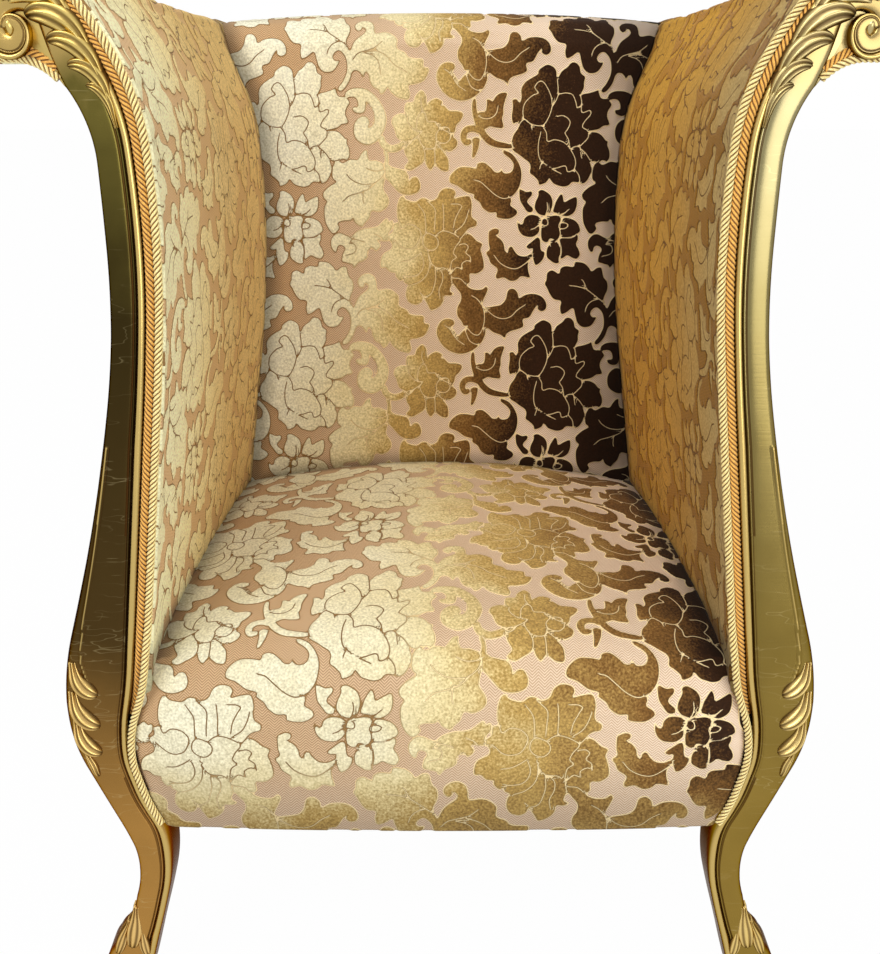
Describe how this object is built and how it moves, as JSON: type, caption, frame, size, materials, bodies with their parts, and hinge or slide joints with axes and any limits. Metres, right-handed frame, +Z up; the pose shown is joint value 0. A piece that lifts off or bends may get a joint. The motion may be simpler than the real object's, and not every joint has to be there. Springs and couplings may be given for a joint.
{
  "type": "armchair",
  "caption": "Baroque armchair with gilded carved S-curved front posts, arms that roll outward, a reclined back and a tight crowned seat in floral damask edged with twisted cord.",
  "frame": {"origin": "on the floor under the middle of the chair's bounding box", "axes": "+Z up, -Y towards the front where the sitter faces, +X to the right as seen from the front"},
  "size_m": [0.79, 0.6955, 1.03],
  "materials": {
    "gilded_wood": "burnished gold leaf over carved hardwood, antiqued in the recesses",
    "frame_wood": "planed hardwood, unseen",
    "velvet": "cut-velvet floral damask on a satin ground",
    "foam": "open-cell upholstery foam, unseen",
    "outside_fabric": "damask over thin board",
    "gold_cord": "twisted silk cord, pale gold",
    "bronze_cord": "twisted silk cord, bronze",
    "webbing": "woven elastic webbing, unseen",
    "hessian": "plain woven hessian, unseen",
    "dust_cover": "black cambric",
    "glide": "moulded"
  },
  "bodies": {
    "root": {"back_cover": "velvet", "back_foam": "foam", "back_webbing": "webbing", "corner_blocks": "frame_wood", "crest_rail": "frame_wood", "dust_cover": "dust_cover", "foot_glides": "glide", "front_rail": "frame_wood", "left_arm_cover": "velvet", "left_arm_foam": "foam", "left_arm_rail": "frame_wood", "left_back_post": "gilded_wood", "left_bronze_cord": "bronze_cord", "left_edge_cord": "bronze_cord", "left_front_post": "gilded_wood", "left_gold_cord": "gold_cord", "left_outside_panel": "outside_fabric", "left_side_rail": "frame_wood", "left_tack_rail": "frame_wood", "lower_back_rail": "frame_wood", "outside_back_panel": "outside_fabric", "rear_rail": "frame_wood", "right_arm_cover": "velvet", "right_arm_foam": "foam", "right_arm_rail": "frame_wood", "right_back_post": "gilded_wood", "right_bronze_cord": "bronze_cord", "right_edge_cord": "bronze_cord", "right_front_post": "gilded_wood", "right_gold_cord": "gold_cord", "right_outside_panel": "outside_fabric", "right_side_rail": "frame_wood", "right_tack_rail": "frame_wood", "seat_cover": "velvet", "seat_foam": "foam", "seat_hessian": "hessian", "seat_webbing_crosswise": "webbing", "seat_webbing_lengthwise": "webbing"}
  },
  "joints": []
}
